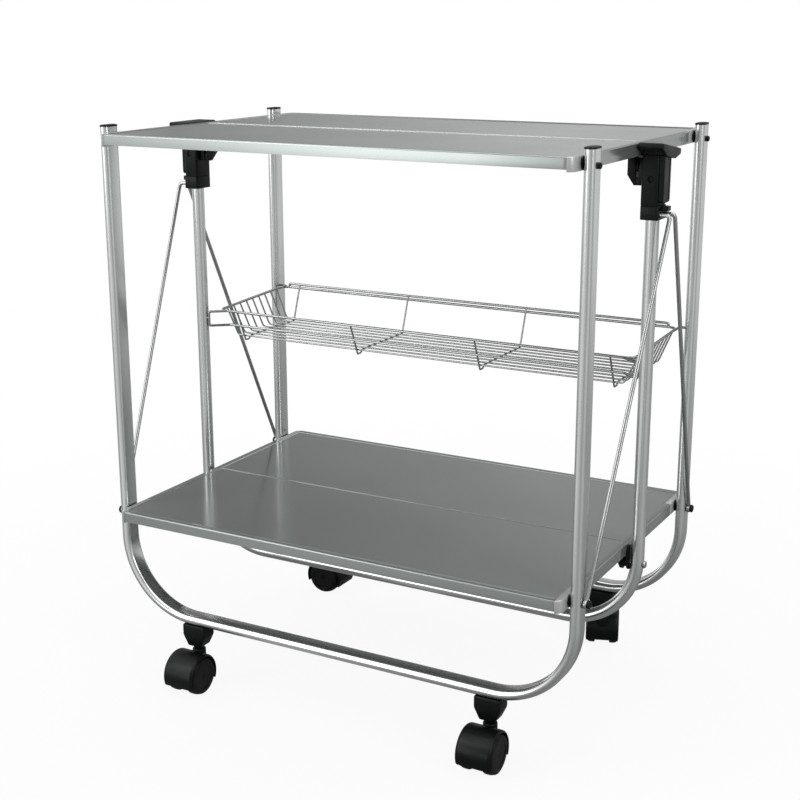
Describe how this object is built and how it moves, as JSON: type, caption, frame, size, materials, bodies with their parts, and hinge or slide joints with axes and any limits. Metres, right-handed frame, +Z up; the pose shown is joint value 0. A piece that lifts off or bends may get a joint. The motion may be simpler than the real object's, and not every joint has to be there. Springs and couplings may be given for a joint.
{
  "type": "folding serving trolley",
  "caption": "Folding serving trolley with two hinged shelves, a wire basket, lifting handles and twin-wheel casters on bent tube frames.",
  "frame": {"origin": "on the floor, under the middle of the open trolley", "axes": "+X right seen from the front, -Y front, +Z up"},
  "size_m": [0.6893, 0.4643, 0.722],
  "materials": {
    "silver_tube": "satin silver paint",
    "shelf_sheet": "semi-gloss grey sheet",
    "silver_moulding": "silver moulded plastic",
    "bright_wire": "bright plated wire",
    "pin_steel": "plated steel",
    "black_plastic": "fine-grained black plastic",
    "wheel_plastic": "smooth black nylon"
  },
  "bodies": {
    "front_frame_set": {"front_frame": "silver_tube", "front_left_post_cap": "black_plastic", "front_right_post_cap": "black_plastic", "front_left_top_pin": "black_plastic", "front_left_low_pin": "black_plastic", "front_right_top_pin": "black_plastic", "front_right_low_pin": "black_plastic", "front_left_caster_socket": "black_plastic", "front_right_caster_socket": "black_plastic"},
    "middle": {"middle_frame": "silver_tube", "left_handle_housing": "black_plastic", "right_handle_housing": "black_plastic", "left_grip": "black_plastic", "right_grip": "black_plastic", "left_pivot_plate": "black_plastic", "right_pivot_plate": "black_plastic", "middle_left_top_pin": "pin_steel", "middle_right_top_pin": "pin_steel", "middle_left_low_pin": "pin_steel", "middle_right_low_pin": "pin_steel"},
    "front_top": {"front_top_tray": "shelf_sheet", "front_left_top_corner": "silver_moulding", "front_right_top_corner": "silver_moulding"},
    "front_low": {"front_low_tray": "shelf_sheet", "front_left_low_corner": "silver_moulding", "front_right_low_corner": "silver_moulding"},
    "rear_top": {"rear_top_tray": "shelf_sheet", "rear_left_top_corner": "silver_moulding", "rear_right_top_corner": "silver_moulding"},
    "rear_low": {"rear_low_tray": "shelf_sheet", "rear_left_low_corner": "silver_moulding", "rear_right_low_corner": "silver_moulding"},
    "rear_frame_set": {"rear_frame": "silver_tube", "rear_left_post_cap": "black_plastic", "rear_right_post_cap": "black_plastic", "rear_left_top_pin": "black_plastic", "rear_left_low_pin": "black_plastic", "rear_right_top_pin": "black_plastic", "rear_right_low_pin": "black_plastic", "rear_left_caster_socket": "black_plastic", "rear_right_caster_socket": "black_plastic"},
    "basket": {"basket": "bright_wire"},
    "left_slider": {"left_collar": "black_plastic"},
    "right_slider": {"right_collar": "black_plastic"},
    "front_left_strut": {"front_left_strut": "pin_steel"},
    "front_left_caster": {"front_left_caster_hood": "black_plastic"},
    "front_left_left_roller": {"front_left_left_wheel": "wheel_plastic"},
    "front_left_right_roller": {"front_left_right_wheel": "wheel_plastic"},
    "front_right_strut": {"front_right_strut": "pin_steel"},
    "front_right_caster": {"front_right_caster_hood": "black_plastic"},
    "front_right_left_roller": {"front_right_left_wheel": "wheel_plastic"},
    "front_right_right_roller": {"front_right_right_wheel": "wheel_plastic"},
    "rear_left_strut": {"rear_left_strut": "pin_steel"},
    "rear_left_caster": {"rear_left_caster_hood": "black_plastic"},
    "rear_left_left_roller": {"rear_left_left_wheel": "wheel_plastic"},
    "rear_left_right_roller": {"rear_left_right_wheel": "wheel_plastic"},
    "rear_right_strut": {"rear_right_strut": "pin_steel"},
    "rear_right_caster": {"rear_right_caster_hood": "black_plastic"},
    "rear_right_left_roller": {"rear_right_left_wheel": "wheel_plastic"},
    "rear_right_right_roller": {"rear_right_right_wheel": "wheel_plastic"}
  },
  "joints": [
    {"name": "front_top_fold", "type": "hinge", "parent": "front_top", "child": "middle", "pos_m": [0, 0, 0.687], "axis": [-1, 0, 0], "range_deg": [0, 76]},
    {"name": "rear_top_fold", "type": "hinge", "parent": "middle", "child": "rear_top", "pos_m": [0, 0, 0.687], "axis": [-1, 0, 0], "range_deg": [0, 76]},
    {"name": "front_frame_fold", "type": "hinge", "parent": "front_frame_set", "child": "front_top", "pos_m": [0, -0.18, 0.7025], "axis": [1, 0, 0], "range_deg": [0, 76]},
    {"name": "rear_frame_fold", "type": "hinge", "parent": "rear_top", "child": "rear_frame_set", "pos_m": [0, 0.18, 0.7025], "axis": [1, 0, 0], "range_deg": [0, 76]},
    {"name": "front_low_fold", "type": "hinge", "parent": "middle", "child": "front_low", "pos_m": [0, 0, 0.208], "axis": [1, 0, 0], "range_deg": [0, 76]},
    {"name": "rear_low_fold", "type": "hinge", "parent": "middle", "child": "rear_low", "pos_m": [0, 0, 0.208], "axis": [-1, 0, 0], "range_deg": [0, 76]},
    {"name": "basket_fold", "type": "hinge", "parent": "middle", "child": "basket", "pos_m": [0, 0, 0.4485], "axis": [-1, 0, 0], "range_deg": [0, 76]},
    {"name": "left_collar_slide", "type": "slide", "parent": "middle", "child": "left_slider", "axis": [0, 0, -1], "range_m": [0, 0.1546]},
    {"name": "right_collar_slide", "type": "slide", "parent": "middle", "child": "right_slider", "axis": [0, 0, -1], "range_m": [0, 0.1546]},
    {"name": "front_left_strut_swing", "type": "hinge", "parent": "front_frame_set", "child": "front_left_strut", "pos_m": [-0.32405, -0.18, 0.2235], "axis": [1, 0, 0], "range_deg": [0, 16.29]},
    {"name": "front_left_swivel", "type": "hinge", "parent": "front_frame_set", "child": "front_left_caster", "pos_m": [-0.2105, -0.18, 0.02469], "axis": [0, 0, 1], "continuous": true},
    {"name": "front_left_left_spin", "type": "hinge", "parent": "front_left_caster", "child": "front_left_left_roller", "pos_m": [-0.2105, -0.201, 0.02469], "axis": [1, 0, 0], "continuous": true},
    {"name": "front_left_right_spin", "type": "hinge", "parent": "front_left_caster", "child": "front_left_right_roller", "pos_m": [-0.2105, -0.201, 0.02469], "axis": [1, 0, 0], "continuous": true},
    {"name": "front_right_strut_swing", "type": "hinge", "parent": "front_frame_set", "child": "front_right_strut", "pos_m": [0.32405, -0.18, 0.2235], "axis": [1, 0, 0], "range_deg": [0, 16.29]},
    {"name": "front_right_swivel", "type": "hinge", "parent": "front_frame_set", "child": "front_right_caster", "pos_m": [0.2105, -0.18, 0.02469], "axis": [0, 0, 1], "continuous": true},
    {"name": "front_right_left_spin", "type": "hinge", "parent": "front_right_caster", "child": "front_right_left_roller", "pos_m": [0.2105, -0.201, 0.02469], "axis": [1, 0, 0], "continuous": true},
    {"name": "front_right_right_spin", "type": "hinge", "parent": "front_right_caster", "child": "front_right_right_roller", "pos_m": [0.2105, -0.201, 0.02469], "axis": [1, 0, 0], "continuous": true},
    {"name": "rear_left_strut_swing", "type": "hinge", "parent": "rear_frame_set", "child": "rear_left_strut", "pos_m": [-0.32405, 0.18, 0.2235], "axis": [-1, 0, 0], "range_deg": [0, 16.29]},
    {"name": "rear_left_swivel", "type": "hinge", "parent": "rear_frame_set", "child": "rear_left_caster", "pos_m": [-0.2105, 0.18, 0.02469], "axis": [0, 0, 1], "continuous": true},
    {"name": "rear_left_left_spin", "type": "hinge", "parent": "rear_left_caster", "child": "rear_left_left_roller", "pos_m": [-0.2315, 0.18, 0.02469], "axis": [0, 1, 0], "continuous": true},
    {"name": "rear_left_right_spin", "type": "hinge", "parent": "rear_left_caster", "child": "rear_left_right_roller", "pos_m": [-0.2315, 0.18, 0.02469], "axis": [0, 1, 0], "continuous": true},
    {"name": "rear_right_strut_swing", "type": "hinge", "parent": "rear_frame_set", "child": "rear_right_strut", "pos_m": [0.32405, 0.18, 0.2235], "axis": [-1, 0, 0], "range_deg": [0, 16.29]},
    {"name": "rear_right_swivel", "type": "hinge", "parent": "rear_frame_set", "child": "rear_right_caster", "pos_m": [0.2105, 0.18, 0.02469], "axis": [0, 0, 1], "continuous": true},
    {"name": "rear_right_left_spin", "type": "hinge", "parent": "rear_right_caster", "child": "rear_right_left_roller", "pos_m": [0.20332, 0.19973, 0.02469], "axis": [0.9397, 0.342, 0], "continuous": true},
    {"name": "rear_right_right_spin", "type": "hinge", "parent": "rear_right_caster", "child": "rear_right_right_roller", "pos_m": [0.20332, 0.19973, 0.02469], "axis": [0.9397, 0.342, 0], "continuous": true}
  ],
  "couplings": [
    {"joint": "rear_top_fold", "follows": "front_top_fold", "ratio": 1},
    {"joint": "front_frame_fold", "follows": "front_top_fold", "ratio": 1},
    {"joint": "rear_frame_fold", "follows": "front_top_fold", "ratio": 1},
    {"joint": "front_low_fold", "follows": "front_top_fold", "ratio": 1},
    {"joint": "rear_low_fold", "follows": "front_top_fold", "ratio": 1},
    {"joint": "basket_fold", "follows": "front_top_fold", "ratio": 1},
    {"joint": "left_collar_slide", "follows": "front_top_fold", "m_per_rad": 0.11648},
    {"joint": "right_collar_slide", "follows": "front_top_fold", "m_per_rad": 0.11648},
    {"joint": "front_left_strut_swing", "follows": "front_top_fold", "ratio": 0.2142},
    {"joint": "front_right_strut_swing", "follows": "front_top_fold", "ratio": 0.2142},
    {"joint": "rear_left_strut_swing", "follows": "front_top_fold", "ratio": 0.2142},
    {"joint": "rear_right_strut_swing", "follows": "front_top_fold", "ratio": 0.2142}
  ]
}
